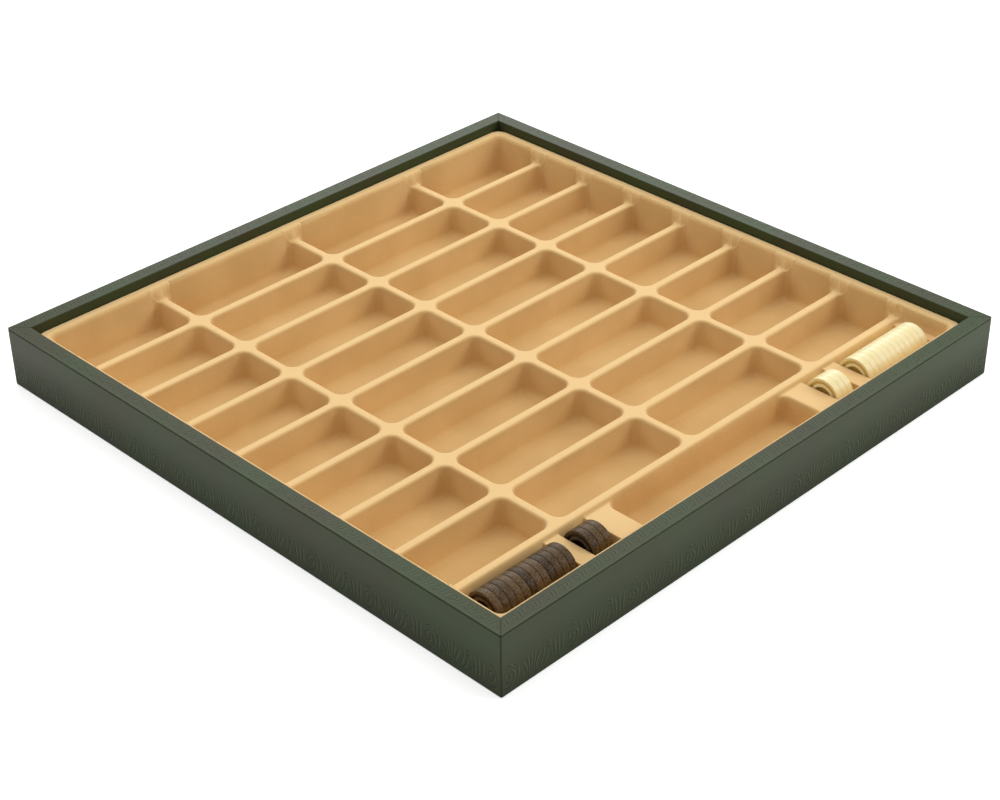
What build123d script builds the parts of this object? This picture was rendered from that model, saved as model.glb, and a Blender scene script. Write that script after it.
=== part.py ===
# A square storage case for a chess and draughts set, open, with its moulded tray and 30 counters.
# Millimetres. The origin is the middle of the underside, +Z is up, and -Y is the side with the counters.
from build123d import *
from math import asin, atan2, hypot, radians, sin, tan
import os

os.makedirs("parts", exist_ok=True)

# The case: four mitred wooden rails covered in leather
case_side = 490.0
case_height = 47.0
rail_thickness = 10.4
leather_thickness = 0.8
seam_width = 0.5
foot_edge_radius = 0.7

# The base panel sits in a rabbet round the foot of the rails, with a cover glued under it
panel_thickness = 5.0
panel_fit = 0.2
rabbet_depth = 6.0
cover_thickness = 0.8
cover_margin = 1.0
underside_recess = 1.2

# Fasteners: panel pins up through the base, and stacked angle nails across each mitre
pin_diameter = 1.4
pin_head_diameter = 3.2
pin_head_height = 0.8
pin_length = 15.0
pin_fit = 0.1
pins_per_side = 4
pin_pitch = 120.0
nail_leg = 4.0
nail_metal = 0.6
nail_height = 12.0
nails_per_corner = 2

# The moulded tray: one flocked sheet
sheet = 1.0
tray_fit = 0.4
tray_corner_radius = 10.0
board_recess = 7.4
flange_width = 8.0
flange_edge_radius = 4.0
well_corner_radius = 4.0
shoulder_width = 2.4
draft = 7.0

# Cells for the chessmen, between ridges that stand lower than the flange
ridge_drop = 9.9
ridge_width = 7.0
ridge_radius = 2.0
end_cell_length = 90.1
cell_columns = 4
cell_rows = 8
cell_corner_radius = 8.0
floor_radius = 4.0

# The counters' row: two troughs at each end, flat blocks beside them and an empty cell between
block_drop = 2.6
block_shoulder = 0.4
block_front_width = 4.75
block_end_length = 7.1
block_between_length = 13.3
block_inner_length = 21.1
trough_side_room = 3.78
long_trough_room = 2.2
short_trough_room = 6.25
trough_fit = 0.3
trough_foot_radius = 3.0

# The counters: turned discs with a raised rim and a stepped, dished face
counter_diameter = 28.0
counter_thickness = 5.55
counter_gap = 0.1
counter_end_gap = 0.5
counter_rim_width = 3.0
counter_step_depth = 0.5
counter_dish_diameter = 13.0
counter_dish_depth = 1.3
counter_dish_slope = 1.2
counter_edge_radius = 0.4
long_stack = 12
short_stack = 3

# Lines that the pieces share
outer_face = case_side / 2
wood_outer = outer_face - leather_thickness
wood_inner = wood_outer - rail_thickness
inner_wall = wood_inner - leather_thickness
wood_top = case_height - leather_thickness
panel_seat = wood_inner + rabbet_depth
panel_bottom = underside_recess + cover_thickness
panel_top = panel_bottom + panel_thickness

# Levels and lines of the tray
tray_half = inner_wall - tray_fit
flange_top = case_height - board_recess
ridge_top = flange_top - ridge_drop
block_top = ridge_top - block_drop
floor_top = panel_top + sheet
lean = tan(radians(draft))
well_half = tray_half - flange_width
well_foot = well_half - ridge_drop * lean
cells_half = well_foot - shoulder_width
row_inset = block_drop * lean + block_shoulder

# The counters lie on their edges along X, low in the row
counter_radius = counter_diameter / 2
counter_pitch = counter_thickness + counter_gap
trough_half = counter_radius + trough_side_room
counter_axis_y = -well_foot + block_front_width + trough_half
counter_axis_z = floor_top + trough_fit + counter_radius

# The troughs are as long as their stacks and a little room, and start from the well's foot
long_trough_length = long_stack * counter_pitch + long_trough_room
short_trough_length = short_stack * counter_pitch + short_trough_room
long_trough_start = well_foot - block_end_length - long_trough_length
short_trough_start = long_trough_start - block_between_length - short_trough_length
middle_cell_length = 2 * (short_trough_start - block_inner_length)

# The ridges stand evenly between the counters' row and the back, and between the end cells
row_edge = counter_axis_y + trough_half + row_inset
first_ridge_y = row_edge + ridge_width / 2
cell_pitch_y = -2 * first_ridge_y / (cell_rows - 1)
cell_pitch_x = 2 * (cells_half - end_cell_length - ridge_width / 2) / (cell_columns - 2)

# Each trough's long sides are planes that just clear the counters
seat_radius = counter_radius + trough_fit
corner_rise = block_top - counter_axis_z
trough_slope = atan2(corner_rise, trough_half) + asin(seat_radius / hypot(trough_half, corner_rise))
troughs = (
    (-long_trough_start - long_trough_length, long_trough_length, long_stack, "dark"),
    (-short_trough_start - short_trough_length, short_trough_length, short_stack, "dark"),
    (short_trough_start, short_trough_length, short_stack, "pale"),
    (long_trough_start, long_trough_length, long_stack, "pale"),
)

# Each side of the case: its name and the turn that brings the -Y side round to it
sides = (("front", 0), ("right", 90), ("back", 180), ("left", 270))


def level(height, turn=0):
    """A level plane at a height, turned about Z."""
    return Plane.XY.offset(height).rotated((0, 0, turn))


def mitred_strip(outer, inner, height, thickness, turn):
    """One side of a square ring, cut at 45 degrees at both ends, added to the part being built."""
    with BuildSketch(level(height, turn)) as section:
        with BuildLine():
            Polyline(
                (-outer, -outer),
                (outer, -outer),
                (inner, -inner),
                (-inner, -inner),
                close=True,
            )
        make_face()
    extrude(section.sketch, amount=thickness)


# Places along one side where the panel pins go, and the line that they stand on
pin_line = (wood_inner + panel_seat) / 2
pin_places = [
    (pin_pitch * (k - (pins_per_side - 1) / 2), -pin_line) for k in range(pins_per_side)
]
pin_top = panel_bottom + pin_length

# The angle nails sit in the middle of the wood on each mitre, flush with its top
nail_apex = (wood_outer + wood_inner) / 2 + nail_metal / 2
nail_foot = wood_top - nails_per_corner * nail_height

# The fasteners, each kind a group of separate solids
with BuildPart() as base_panel_pins:
    for name, turn in sides:
        with BuildSketch(level(panel_bottom, turn)):
            with Locations(*pin_places):
                Circle(pin_diameter / 2)
        extrude(amount=pin_length)
        with BuildSketch(level(panel_bottom, turn)):
            with Locations(*pin_places):
                Circle(pin_head_diameter / 2)
        extrude(amount=pin_head_height)
base_panel_pins.part.label = "base_panel_pins"
export_step(base_panel_pins.part, "parts/base_panel_pins.step")


def angle_nail(foot):
    """An upright steel angle whose corner lies on the mitre at the front right, with a leg into each rail."""
    with BuildSketch(level(foot)) as section:
        with BuildLine():
            Polyline(
                (nail_apex, -nail_apex),
                (nail_apex - nail_leg, -nail_apex),
                (nail_apex - nail_leg, -nail_apex + nail_metal),
                (nail_apex - nail_metal, -nail_apex + nail_metal),
                (nail_apex - nail_metal, -nail_apex + nail_leg),
                (nail_apex, -nail_apex + nail_leg),
                close=True,
            )
        make_face()
    return extrude(section.sketch, amount=nail_height, mode=Mode.PRIVATE)


nails = [
    angle_nail(nail_foot + k * nail_height).rotate(Axis.Z, turn)
    for name, turn in sides
    for k in range(nails_per_corner)
]
corner_nails = Compound(label="corner_nails", children=nails)
export_step(corner_nails, "parts/corner_nails.step")

# The wooden rails, with the panel's rabbet and the holes of the fasteners
for name, turn in sides:
    with BuildPart() as rail:
        mitred_strip(wood_outer, wood_inner, leather_thickness, wood_top - leather_thickness, turn)
        with BuildSketch(level(0)):
            Rectangle(2 * panel_seat, 2 * panel_seat)
        extrude(amount=panel_top, mode=Mode.SUBTRACT)
        with BuildSketch(level(panel_top, turn)):
            with Locations(*pin_places):
                Circle((pin_diameter + pin_fit) / 2)
        extrude(amount=pin_top - panel_top, mode=Mode.SUBTRACT)
        for nail in nails:
            add(nail, mode=Mode.SUBTRACT)
    rail.part.label = f"rail_{name}"
    export_step(rail.part, f"parts/rail_{name}.step")

# The leather on each outer side, turned in under the rail
for name, turn in sides:
    with BuildPart() as side_leather:
        mitred_strip(outer_face, wood_outer, 0, wood_top - seam_width, turn)
        mitred_strip(wood_outer, panel_seat, 0, leather_thickness, turn)
        face_edges = side_leather.edges().filter_by(lambda e: e.length > 2 * wood_outer)
        fillet(face_edges.sort_by(Axis.Z)[0], radius=foot_edge_radius)
    side_leather.part.label = f"side_leather_{name}"
    export_step(side_leather.part, f"parts/side_leather_{name}.step")

# The leather strip over the top of each rail and down the inside
for name, turn in sides:
    with BuildPart() as rim_leather:
        mitred_strip(outer_face, inner_wall, wood_top, leather_thickness, turn)
        mitred_strip(wood_inner, inner_wall, panel_top, wood_top - panel_top, turn)
    rim_leather.part.label = f"rim_leather_{name}"
    export_step(rim_leather.part, f"parts/rim_leather_{name}.step")

# The base panel and the cover under it
with BuildPart() as base_panel:
    with BuildSketch(level(panel_bottom)):
        Rectangle(2 * (panel_seat - panel_fit), 2 * (panel_seat - panel_fit))
    extrude(amount=panel_thickness)
    for name, turn in sides:
        with BuildSketch(level(panel_bottom, turn)):
            with Locations(*pin_places):
                Circle((pin_diameter + pin_fit) / 2)
        extrude(amount=panel_thickness, mode=Mode.SUBTRACT)
        with BuildSketch(level(panel_bottom, turn)):
            with Locations(*pin_places):
                Circle((pin_head_diameter + pin_fit) / 2)
        extrude(amount=pin_head_height, mode=Mode.SUBTRACT)
base_panel.part.label = "base_panel"
export_step(base_panel.part, "parts/base_panel.step")

with BuildPart() as underside_cover:
    with BuildSketch(level(underside_recess)):
        Rectangle(2 * (panel_seat - cover_margin), 2 * (panel_seat - cover_margin))
    extrude(amount=cover_thickness)
underside_cover.part.label = "underside_cover"
export_step(underside_cover.part, "parts/underside_cover.step")


def spans(count, pitch, first_edge, last_edge):
    """The spans between the ridges that cross one axis, measured at the ridges' tops."""
    lines = [(k - count / 2) * pitch for k in range(1, count)]
    starts = [first_edge] + [line + ridge_width / 2 for line in lines]
    ends = [line - ridge_width / 2 for line in lines] + [last_edge]
    return list(zip(starts, ends))


def cell_plans():
    """The plan of each chessman's cell at the ridges' tops, as its span along X and its span along Y."""
    columns = spans(cell_columns, cell_pitch_x, -cells_half, cells_half)
    rows = spans(cell_rows + 1, cell_pitch_y, -cells_half, cells_half)[1:]
    return [(column, row) for column in columns for row in rows]


def hollows(plans, corner_radius, height, bottom, grow):
    """Hollows with rounded corners, wider than their plans by grow, whose sides lean in down to a bottom."""
    with BuildSketch(level(height)) as section:
        for x_span, y_span in plans:
            with Locations((sum(x_span) / 2, sum(y_span) / 2)):
                RectangleRounded(
                    x_span[1] - x_span[0] + 2 * grow,
                    y_span[1] - y_span[0] + 2 * grow,
                    corner_radius + grow,
                )
    return extrude(section.sketch, amount=bottom - height, taper=draft, mode=Mode.PRIVATE)


def cells(bottom, grow):
    """The space in every drafted cell: one for each chessman, and the counters' empty one."""
    middle_x = (-middle_cell_length / 2, middle_cell_length / 2)
    middle_y = (-cells_half + row_inset, row_edge - row_inset)
    with BuildPart() as form:
        add(hollows(cell_plans(), cell_corner_radius, ridge_top, bottom, grow))
        add(hollows([(middle_x, middle_y)], cell_corner_radius, block_top, bottom, grow))
        if grow == 0:
            fillet(form.edges().group_by(Axis.Z)[0], radius=floor_radius)
    return form.part


def trough_space(start, length, bottom, grow):
    """The space in one trough: upright ends, and long sides that lean out from a narrow foot."""
    top_half = trough_half + grow / sin(trough_slope)
    foot_half = top_half - (block_top - bottom) / tan(trough_slope)
    with BuildPart() as form:
        with BuildSketch(Plane.YZ.offset(start - grow)):
            with BuildLine():
                Polyline(
                    (counter_axis_y - top_half, block_top),
                    (counter_axis_y + top_half, block_top),
                    (counter_axis_y + foot_half, bottom),
                    (counter_axis_y - foot_half, bottom),
                    close=True,
                )
            make_face()
        extrude(amount=length + 2 * grow)
        if grow == 0:
            fillet(form.edges().filter_by(Axis.X).group_by(Axis.Z)[0], radius=trough_foot_radius)
    return form.part


def brinks(part, height):
    """The edges of every hollow that opens in the level face at a height."""
    faces = part.faces().filter_by(Plane.XY).filter_by_position(Axis.Z, height - 0.01, height + 0.01)
    return [edge for face in faces for loop in face.inner_wires() for edge in loop.edges()]


def tray_mould(block_foot, floor, grow):
    """A block with all the tray's hollows, each wider by grow, and each upper level lower by grow."""
    plan_side = 2 * (tray_half - grow)
    well_span = (-well_half, well_half)
    well = hollows([(well_span, well_span)], well_corner_radius, flange_top, ridge_top - grow, grow)
    row_plan = ((-cells_half, cells_half), (-cells_half, row_edge))
    row = hollows([row_plan], cell_corner_radius, ridge_top, block_top - grow, grow)
    with BuildPart() as mould:
        with BuildSketch(level(block_foot)) as plan:
            RectangleRounded(plan_side, plan_side, tray_corner_radius - grow)
        extrude(plan.sketch, amount=flange_top - grow - block_foot)
        add(well, mode=Mode.SUBTRACT)
        fillet(brinks(mould.part, flange_top - grow), radius=flange_edge_radius - grow)
        add(row, mode=Mode.SUBTRACT)
        add(cells(floor, grow), mode=Mode.SUBTRACT)
        if grow == 0:
            fillet(brinks(mould.part, ridge_top), radius=ridge_radius)
        for start, length, count, colour in troughs:
            add(trough_space(start, length, floor, grow), mode=Mode.SUBTRACT)
    return mould.part


# The tray is the mould's skin: the block with its hollows, less the space under the sheet
with BuildPart() as tray:
    add(tray_mould(panel_top, floor_top, 0))
    add(tray_mould(panel_top - sheet, panel_top - sheet, sheet), mode=Mode.SUBTRACT)
tray.part.label = "tray"
export_step(tray.part, "parts/tray.step")


def counter_outline():
    """Half the section of a counter in its own frame: radius along X, thickness along Y."""
    half = counter_thickness / 2
    dish = counter_dish_diameter / 2
    step = counter_radius - counter_rim_width
    with BuildSketch(Plane.XY) as outline:
        with BuildLine():
            Polyline(
                (0, half - counter_dish_depth),
                (dish - counter_dish_slope, half - counter_dish_depth),
                (dish, half - counter_step_depth),
                (step, half - counter_step_depth),
                (step + counter_step_depth, half),
                (counter_radius, half),
                (counter_radius, -half),
                (step + counter_step_depth, -half),
                (step, -half + counter_step_depth),
                (dish, -half + counter_step_depth),
                (dish - counter_dish_slope, -half + counter_dish_depth),
                (0, -half + counter_dish_depth),
                close=True,
            )
        make_face()
        fillet(outline.vertices().group_by(Axis.X)[-1], radius=counter_edge_radius)
    return outline.sketch


# The counters, numbered from -X to +X in each colour
section = counter_outline()
numbers = {"dark": 0, "pale": 0}
for start, length, count, colour in troughs:
    for place in range(count):
        numbers[colour] += 1
        middle_x = start + counter_end_gap + counter_thickness / 2 + place * counter_pitch
        axle = Plane(
            origin=(middle_x, counter_axis_y, counter_axis_z), x_dir=(0, 0, 1), z_dir=(0, -1, 0)
        )
        with BuildPart() as counter:
            with BuildSketch(axle):
                add(section)
            revolve(axis=Axis((middle_x, counter_axis_y, counter_axis_z), (1, 0, 0)))
        counter.part.label = f"counter_{colour}_{numbers[colour]:02d}"
        export_step(counter.part, f"parts/{counter.part.label}.step")
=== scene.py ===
"""The open storage case of a chess and draughts set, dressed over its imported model.

The case is four mitred rails in dark green tooled leather. In it lies one thermoformed tray with tan flock,
with 32 cells for chessmen and a row of troughs that hold 30 turned counters on edge. Sizes are in millimetres
in the shared frame, and the mesh maker turns them to metres.
"""
import logging
import math
from dataclasses import dataclass, field
from enum import Enum

import bmesh
import bpy
import numpy as np
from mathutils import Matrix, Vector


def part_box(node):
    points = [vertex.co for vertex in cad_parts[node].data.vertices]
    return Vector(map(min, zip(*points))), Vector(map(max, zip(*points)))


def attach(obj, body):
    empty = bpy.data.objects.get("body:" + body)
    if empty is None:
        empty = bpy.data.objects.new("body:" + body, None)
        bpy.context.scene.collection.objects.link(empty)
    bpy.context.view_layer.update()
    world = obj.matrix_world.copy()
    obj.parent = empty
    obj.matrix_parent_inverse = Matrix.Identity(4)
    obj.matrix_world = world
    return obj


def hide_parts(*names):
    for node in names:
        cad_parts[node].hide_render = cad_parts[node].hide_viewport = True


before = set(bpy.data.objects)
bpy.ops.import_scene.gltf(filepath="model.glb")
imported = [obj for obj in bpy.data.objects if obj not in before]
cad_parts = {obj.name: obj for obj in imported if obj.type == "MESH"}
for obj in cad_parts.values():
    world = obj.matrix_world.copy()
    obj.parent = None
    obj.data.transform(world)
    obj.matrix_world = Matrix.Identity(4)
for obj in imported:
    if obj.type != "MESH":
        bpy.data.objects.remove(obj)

LOG = logging.getLogger("case")
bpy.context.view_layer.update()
METRE = 1000.0
SEED = 11
TOUCH = 1e-6
WHITE = (1.0, 1.0, 1.0, 1.0)
UNIT = (0.0, 1.0)

Array = np.ndarray
Pair = tuple[float, float]
Triple = tuple[float, float, float]
Patch = tuple[Array, list[list[int]], Array]
Tree = bpy.types.NodeTree
Node = bpy.types.Node
Socket = bpy.types.NodeSocket
Material = bpy.types.Material
Object = bpy.types.Object


class Side(Enum):
    """A side of the case and the turn about Z, in degrees, that brings the -Y side round to it."""

    FRONT = 0
    RIGHT = 90
    BACK = 180
    LEFT = 270


class CounterColour(Enum):
    """The two colours of counters, as their nodes' names have them."""

    DARK = "dark"
    PALE = "pale"


def node_box(name: str) -> tuple[Array, Array]:
    """Gives a CAD node's corners.

    Args:
        name: The node.

    Returns:
        Its lowest and highest corners at rest, in millimetres.
    """
    low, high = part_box(name)
    return np.array(low) * METRE, np.array(high) * METRE


def smoothstep(value: Array) -> Array:
    """Goes from 0 to 1 with level ends as value goes from 0 to 1: 3 v squared less 2 v cubed."""
    clipped = np.clip(value, 0.0, 1.0)
    return clipped * clipped * (3.0 - 2.0 * clipped)


def smooth_max(a: Array, b: Array, width: float) -> Array:
    """Takes the larger of two surfaces, with the crease between them rounded.

    The rounding adds a parabola where the two differ by less than the width.

    Args:
        a: One surface's heights.
        b: The other's heights.
        width: How far apart in height they still blend.

    Returns:
        The blended heights.
    """
    share = np.clip(0.5 + 0.5 * (a - b) / width, 0.0, 1.0)
    return b * (1.0 - share) + a * share + width * share * (1.0 - share)


def smooth_min(a: Array, b: Array, width: float) -> Array:
    """Takes the smaller of two surfaces, with the crease between them rounded."""
    return -smooth_max(-a, -b, width)


def crest_of(levelness: Array) -> Array:
    """Gives how much painted highlight a surface gets by how level it is: 0 at 53 degrees and steeper, 1 at
    18 and less.
    """
    steep, shallow = 0.6, 0.95
    return smoothstep((levelness - steep) / (shallow - steep))


def grid_faces(rows: int, columns: int, wrap: bool = False) -> Array:
    """Joins a grid of vertices, stored row by row, with quads.

    Args:
        rows: How many rows the grid has.
        columns: How many vertices a row has.
        wrap: Whether each row closes on itself.

    Returns:
        One row of four indices for each quad.
    """
    across = columns if wrap else columns - 1
    row, column = np.meshgrid(np.arange(rows - 1), np.arange(across), indexing="ij")
    after = (column + 1) % columns
    this_row, next_row = row * columns, (row + 1) * columns
    corners = (this_row + column, this_row + after, next_row + after, next_row + column)
    return np.stack([corner.ravel() for corner in corners], axis=1)


def capped_tube(rows: int, columns: int) -> list[list[int]]:
    """Joins rings of vertices into a tube, with one face over each end.

    Args:
        rows: How many rings there are.
        columns: How many vertices a ring has.

    Returns:
        The faces, whose normals point away from the tube's middle.
    """
    faces = grid_faces(rows, columns, wrap=True)[:, ::-1].tolist()
    faces.append(list(range(columns)))
    faces.append(list(range((rows - 1) * columns, rows * columns))[::-1])
    return faces


def mesh_object(
    name: str,
    vertices: Array,
    faces: list[list[int]],
    attributes: dict[str, Array] | None = None,
    weld: float = 0.0,
) -> Object:
    """Makes a smooth-shaded object at the origin from millimetre coordinates.

    Args:
        name: The object's name.
        vertices: One row of x, y and z for each vertex.
        faces: The vertex indices of each face.
        attributes: Values for each vertex, by name.
        weld: The distance within which vertices are merged, or 0.

    Returns:
        The object, linked to the scene.
    """
    mesh = bpy.data.meshes.new(name)
    mesh.from_pydata((vertices / METRE).tolist(), [], faces)
    for key, values in (attributes or {}).items():
        layer = mesh.attributes.new(key, "FLOAT", "POINT")
        layer.data.foreach_set("value", values.astype(np.float32).ravel())
    if weld:
        work = bmesh.new()
        work.from_mesh(mesh)
        bmesh.ops.remove_doubles(work, verts=work.verts, dist=weld / METRE)
        bmesh.ops.recalc_face_normals(work, faces=work.faces)
        work.to_mesh(mesh)
        work.free()
    mesh.polygons.foreach_set("use_smooth", np.ones(len(mesh.polygons), bool))
    mesh.update()
    piece = bpy.data.objects.new(name, mesh)
    bpy.context.scene.collection.objects.link(piece)
    return piece


# Materials

def linear(hex_colour: str) -> tuple[float, float, float, float]:
    """Turns an sRGB hex colour, such as #F0CF96, into linear red, green, blue and alpha."""
    channels = [int(hex_colour[k : k + 2], 16) / 255.0 for k in (1, 3, 5)]
    curved = [c / 12.92 if c <= 0.04045 else ((c + 0.055) / 1.055) ** 2.4 for c in channels]
    return (*curved, 1.0)


def pattern_scale(size_mm: float) -> float:
    """Gives the texture scale at which one feature of a noise or cell pattern is about size_mm wide."""
    return METRE / size_mm


@dataclass
class Nodes:
    """A node tree in the making, with the kinds of node that the finishes share."""

    tree: Tree

    def add(self, kind: str, values: dict[str | int, object] | None = None) -> Node:
        """Adds a node.

        Args:
            kind: The node's type.
            values: A value, or the output that feeds it, by input name or index or by the node's property.

        Returns:
            The node.
        """
        node = self.tree.nodes.new(kind)
        for key, value in (values or {}).items():
            if isinstance(value, Socket):
                self.tree.links.new(value, node.inputs[key])
            elif isinstance(key, int) or key in node.inputs:
                node.inputs[key].default_value = value
            else:
                setattr(node, key, value)
        return node

    def feed(self, name: str, output: Socket) -> None:
        """Links an output to the shader's input of that name."""
        self.tree.links.new(output, self.tree.nodes["Principled BSDF"].inputs[name])

    def bump(self, height: Socket, depth_mm: float) -> None:
        """Raises the surface by a pattern from 0 to 1 that stands depth_mm high."""
        node = self.add("ShaderNodeBump", {"Strength": 1.0, "Distance": depth_mm / METRE, "Height": height})
        self.feed("Normal", node.outputs["Normal"])

    def mixed(
        self, factor: Socket, first: Socket | str, second: Socket | str
    ) -> Socket:
        """Mixes two colours, each a socket or a hex colour, by how much of the second shows."""
        a, b = [linear(colour) if isinstance(colour, str) else colour for colour in (first, second)]
        return self.add("ShaderNodeMix", {"data_type": "RGBA", 0: factor, 6: a, 7: b}).outputs[2]

    def noise(self, place: Socket, size_mm: float, detail: float = 2.0) -> Socket:
        """Gives a cloudy pattern, from 0 to 1, whose features are about size_mm wide."""
        values = {"Scale": pattern_scale(size_mm), "Detail": detail, "Vector": place}
        return self.add("ShaderNodeTexNoise", values).outputs["Fac"]

    def drawn_out(self, place: Socket, scale: Triple) -> Socket:
        """Scales coordinates along each axis, which draws a pattern out where the scale is under 1."""
        return self.add("ShaderNodeMapping", {"Scale": scale, "Vector": place}).outputs[0]

    def attribute(self, name: str) -> Socket:
        """Reads the piece's own attribute of that name."""
        return self.add("ShaderNodeAttribute", {"attribute_name": name}).outputs["Fac"]

    def remapped(
        self, value: Socket, span: Pair = UNIT, onto: Pair = UNIT
    ) -> Socket:
        """Carries a value from one span onto another, and stops at its ends."""
        ends = {"From Min": span[0], "From Max": span[1], "To Min": onto[0], "To Max": onto[1]}
        return self.add("ShaderNodeMapRange", {"Value": value, **ends}).outputs["Result"]

    def maths(self, operation: str, *values: Socket | float, clamp: bool = False) -> Socket:
        """Does one operation on sockets and numbers, kept between 0 and 1 if clamp says so."""
        settings = {"operation": operation, "use_clamp": clamp, **dict(enumerate(values))}
        return self.add("ShaderNodeMath", settings).outputs[0]


@dataclass(frozen=True)
class Finish:
    """What every finish has: its name and how it scatters light."""

    name: str
    roughness: float = 0.5
    metallic: float = 0.0
    sheen: float = 0.0
    specular: float = 0.5

    def start(self) -> tuple[Material, Nodes, Socket]:
        """Makes an empty material.

        Returns:
            The material, its nodes and its object coordinates.
        """
        material = bpy.data.materials.new(self.name)
        material.use_nodes = True
        nodes = Nodes(material.node_tree)
        shader = nodes.tree.nodes["Principled BSDF"]
        shader.inputs["Roughness"].default_value = self.roughness
        shader.inputs["Metallic"].default_value = self.metallic
        shader.inputs["Sheen Weight"].default_value = self.sheen
        shader.inputs["Specular IOR Level"].default_value = self.specular
        return material, nodes, nodes.add("ShaderNodeTexCoord").outputs["Object"]


@dataclass(frozen=True)
class TooledLeather(Finish):
    """Aniline-dyed cowhide, tooled by a heated roll and glazed: dark green, fine pebbles, a soft shine.

    A painted highlight lightens the rim strip's outer lip, and painted shade darkens the leather towards its
    foot.
    """

    ground: str = "#374527"
    aged: str = "#3A3E27"
    # painted highlight on the tooling's lips and on the rim strip's outer lip
    raised: str = "#737B5A"
    # dye and painted shade in the grooves, and painted shade in the seam and at the mitres
    pressed: str = "#12150C"
    pressed_share: float = 0.9
    # painted shade: the colour the leather is darkened towards at its foot
    foot: str = "#262D1D"
    foot_shade_share: float = 0.6
    foot_shade_height_mm: float = 34.0
    worn_roughness: float = 0.8
    pebble_mm: float = 1.1
    pebble_depth_mm: float = 0.035
    cloud_mm: float = 60.0

    def build(self) -> Material:
        """Makes the material. The tooling attribute darkens grooves with dye and painted shade, and lightens
        lips with a painted highlight.
        """
        material, nodes, place = self.start()
        cloud = nodes.remapped(nodes.noise(place, self.cloud_mm, 3.0), (0.38, 0.62))
        height = nodes.add("ShaderNodeSeparateXYZ", {"Vector": place}).outputs["Z"]
        # painted shade: darker towards the foot, by height
        depth = nodes.remapped(height, (0.0, self.foot_shade_height_mm / METRE), (self.foot_shade_share, 0.0))
        tooling = nodes.attribute("tooling")
        # above 0 the tooling attribute is painted highlight; below 0 it is dye and painted shade
        high = nodes.maths("MULTIPLY", tooling, 1.0, clamp=True)
        low = nodes.maths("MULTIPLY", tooling, -self.pressed_share, clamp=True)
        colour = nodes.mixed(cloud, self.ground, self.aged)
        for share, shade in ((depth, self.foot), (high, self.raised), (low, self.pressed)):
            colour = nodes.mixed(share, colour, shade)
        nodes.feed("Base Color", colour)
        dull = nodes.maths("MAXIMUM", low, depth)
        nodes.feed("Roughness", nodes.remapped(dull, onto=(self.roughness, self.worn_roughness)))
        pebbles = nodes.add("ShaderNodeTexVoronoi", {"Scale": pattern_scale(self.pebble_mm), "Vector": place})
        nodes.bump(pebbles.outputs["Distance"], self.pebble_depth_mm)
        return material


@dataclass(frozen=True)
class Flock(Finish):
    """Short tan rayon flock on a thermoformed sheet: matt, a little fuzzy, with a faint speckle of fibres.

    The level tops of the ridges and blocks, the flange and the top of the outer edge get a painted highlight.
    """

    lit: str = "#E0B97B"
    shaded: str = "#D3AB6D"
    crest_highlight: str = "#ECC78B"
    fibre_mm: float = 0.9
    fibre_share: float = 0.5
    fibre_depth_mm: float = 0.06
    cloud_mm: float = 45.0

    def build(self) -> Material:
        """Makes the material. Real fibres are half as wide as drawn, which would be too fine to show."""
        material, nodes, place = self.start()
        fibres = nodes.noise(place, self.fibre_mm)
        cloud = nodes.noise(place, self.cloud_mm)
        speckle = nodes.maths("MULTIPLY_ADD", fibres, self.fibre_share, cloud, clamp=True)
        colour = nodes.mixed(nodes.remapped(speckle, (0.55, 0.95)), self.shaded, self.lit)
        # painted highlight: level tops are mixed towards a paler colour
        nodes.feed("Base Color", nodes.mixed(nodes.attribute("crest_highlight"), colour, self.crest_highlight))
        nodes.bump(fibres, self.fibre_depth_mm)
        return material


@dataclass(frozen=True)
class TurnedWood(Finish):
    """Close-grained wood, turned and lacquered: fine pores along the grain, each piece of its own tone.

    The face's cove and hollow get painted shade, more where the face lies deeper.
    """

    light: str = "#FBEFC0"
    dark: str = "#F5E3A6"
    # painted shade for the face's cove and hollow
    recess_shade: str = "#C9AC58"
    pore_mm: float = 0.7
    stretch: float = 7.0
    pore_depth_mm: float = 0.01
    tone_share: float = 0.2

    def build(self) -> Material:
        """Makes the material. The tone attribute shifts its colour, and painted shade darkens the face's cove
        and hollow.
        """
        material, nodes, place = self.start()
        pores = nodes.noise(nodes.drawn_out(place, (1.0, 1.0, 1.0 / self.stretch)), self.pore_mm, 3.0)
        shifted = nodes.maths("MULTIPLY_ADD", nodes.attribute("tone"), self.tone_share, pores)
        spread = nodes.remapped(shifted, (0.4, 0.6 + self.tone_share))
        colour = nodes.mixed(spread, self.light, self.dark)
        # painted shade in the face's cove and hollow
        nodes.feed("Base Color", nodes.mixed(nodes.attribute("depth"), colour, self.recess_shade))
        nodes.bump(pores, self.pore_depth_mm)
        return material


@dataclass(frozen=True)
class DrawnOutFinish(Finish):
    """A finish of fine lines: noise drawn out along one way, between two colours."""

    light: str = "#D9B98A"
    dark: str = "#B98F5C"
    line_mm: float = 6.0
    detail: float = 2.0
    along: Triple = (1.0, 1.0, 1.0)
    spread: Pair = UNIT
    depth_mm: float = 0.05

    def build(self) -> Material:
        """Makes the material, whose lines are both its colour and its bumps."""
        material, nodes, place = self.start()
        lines = nodes.noise(nodes.drawn_out(place, self.along), self.line_mm, self.detail)
        nodes.feed("Base Color", nodes.mixed(nodes.remapped(lines, self.spread), self.dark, self.light))
        nodes.bump(lines, self.depth_mm)
        return material


@dataclass(frozen=True)
class PlanedWood(DrawnOutFinish):
    """Planed softwood or plywood face: growth rings as long soft bands, with fine fibres along them."""

    detail: float = 6.0
    along: Triple = (0.05, 1.0, 1.0)
    spread: Pair = (0.35, 0.65)


@dataclass(frozen=True)
class BrushedSteel(DrawnOutFinish):
    """Drawn wire and rolled strip: bright grey with fine lines along the drawing, which runs upwards."""

    light: str = "#C4C4C6"
    dark: str = "#9A9A9E"
    line_mm: float = 0.25
    along: Triple = (1.0, 1.0, 0.04)
    spread: Pair = (0.3, 0.7)
    depth_mm: float = 0.01


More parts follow.
